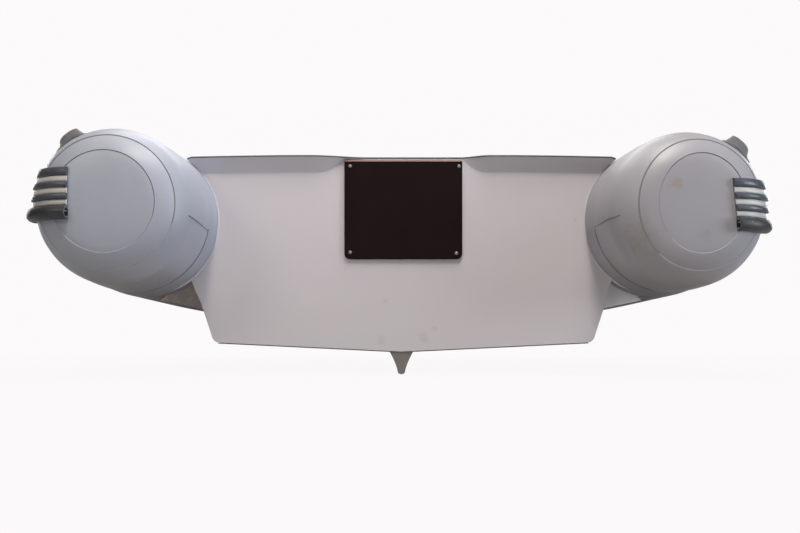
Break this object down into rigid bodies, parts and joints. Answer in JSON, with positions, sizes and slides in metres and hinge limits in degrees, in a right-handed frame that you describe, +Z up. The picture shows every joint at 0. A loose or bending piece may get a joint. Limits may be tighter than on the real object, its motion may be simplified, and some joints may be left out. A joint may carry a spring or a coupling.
{
  "type": "rigid inflatable boat",
  "caption": "Open rigid inflatable boat: moulded V hull, inflated side tubes round the bow, flat transom with an engine pad, thwart and a bow locker with a hinged lid.",
  "frame": {"origin": "on the centreline in the plane of the transom's aft face, at the height of the waterline", "axes": "+Z up, +Y towards the bow, +X to starboard"},
  "size_m": [1.8352, 3.8428, 0.8949],
  "materials": {
    "tube_fabric": "light grey coated fabric, satin",
    "moulded_hull": "warm light grey gelcoat on glass-reinforced plastic",
    "moulded_deck": "light grey gelcoat, satin",
    "strake_rubber": "dark blue-grey moulded rubber",
    "dark_rubber": "dark grey moulded rubber",
    "grey_rubber": "mid grey moulded rubber",
    "engine_pad": "near-black plate, fine grain",
    "stainless_steel": "polished stainless steel"
  },
  "bodies": {
    "boat": {"tube_port": "tube_fabric", "tube_bow": "tube_fabric", "tube_starboard": "tube_fabric", "stern_cone_port": "tube_fabric", "stern_cone_starboard": "tube_fabric", "rub_strake_port": "strake_rubber", "rub_strake_bow": "strake_rubber", "rub_strake_starboard": "strake_rubber", "strake_bead_port": "dark_rubber", "strake_bead_bow": "dark_rubber", "strake_bead_starboard": "dark_rubber", "hull_bottom": "moulded_hull", "spray_rail_port": "moulded_hull", "spray_rail_starboard": "moulded_hull", "keel_skeg": "moulded_hull", "transom": "moulded_hull", "transom_cap": "dark_rubber", "engine_pad_outer": "engine_pad", "engine_pad_inner": "engine_pad", "deck_liner": "moulded_deck", "bow_locker": "moulded_deck", "locker_hinge": "stainless_steel", "bow_eye": "stainless_steel", "thwart": "moulded_deck", "thwart_bracket_port": "grey_rubber", "thwart_bracket_starboard": "grey_rubber", "grab_handle_port_aft": "grey_rubber", "grab_handle_port_middle": "grey_rubber", "grab_handle_port_forward": "grey_rubber", "grab_handle_starboard_aft": "grey_rubber", "grab_handle_starboard_middle": "grey_rubber", "grab_handle_starboard_forward": "grey_rubber", "bow_handle": "grey_rubber", "valve_port": "grey_rubber", "valve_bow": "grey_rubber", "valve_starboard": "grey_rubber"},
    "lid": {"locker_lid": "moulded_deck", "lid_latch": "stainless_steel"}
  },
  "joints": [
    {"name": "locker_lid_hinge", "type": "hinge", "parent": "boat", "child": "lid", "pos_m": [0, 2.5645, 0.3003], "axis": [-1, 0, 0], "range_deg": [0, 95]}
  ]
}
